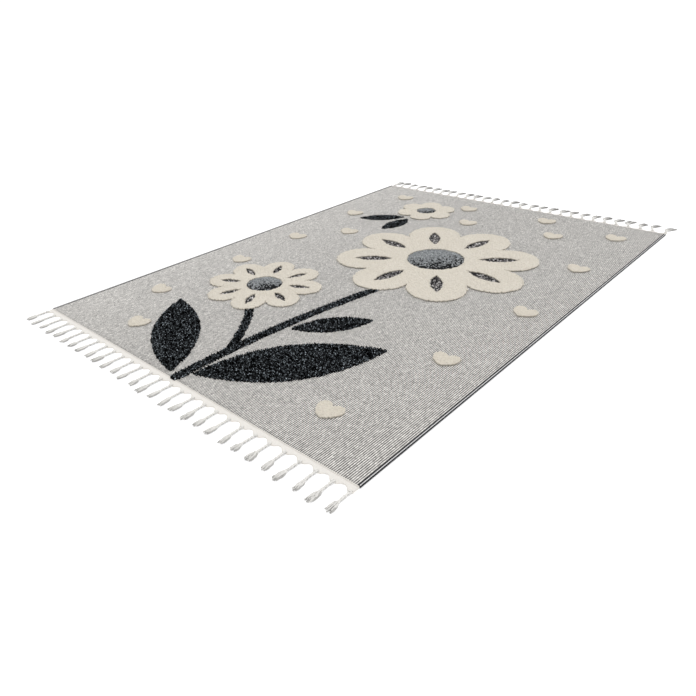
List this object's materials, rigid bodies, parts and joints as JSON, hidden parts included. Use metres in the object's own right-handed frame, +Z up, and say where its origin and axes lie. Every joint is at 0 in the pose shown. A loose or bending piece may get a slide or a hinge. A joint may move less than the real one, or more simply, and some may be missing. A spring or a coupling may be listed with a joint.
{
  "type": "kids rug",
  "caption": "Rectangular woven kids rug with raised pile flowers, leaves and hearts, bound long edges and tasselled short ends.",
  "frame": {"origin": "on the floor under the middle of the rug", "axes": "+X across the width, +Y along the length from the end where the stem starts to the other end, +Z up"},
  "size_m": [1.2, 1.886, 0.011],
  "materials": {
    "ground_weave": "light grey heathered flat weave with lengthwise ribs",
    "cream_pile": "dense warm cream cut pile",
    "charcoal_shag": "near-black longer pile with lighter flecks",
    "grey_pile": "mid-grey short pile with black specks",
    "dark_weave": "dark grey heathered low weave",
    "edge_yarn": "charcoal overcast yarn",
    "fringe_cotton": "off-white twisted cotton and polyester yarn"
  },
  "bodies": {
    "root": {"rug_body": "ground_weave", "binding_left": "edge_yarn", "binding_right": "edge_yarn", "fringe_near": "fringe_cotton", "fringe_far": "fringe_cotton"}
  },
  "joints": []
}
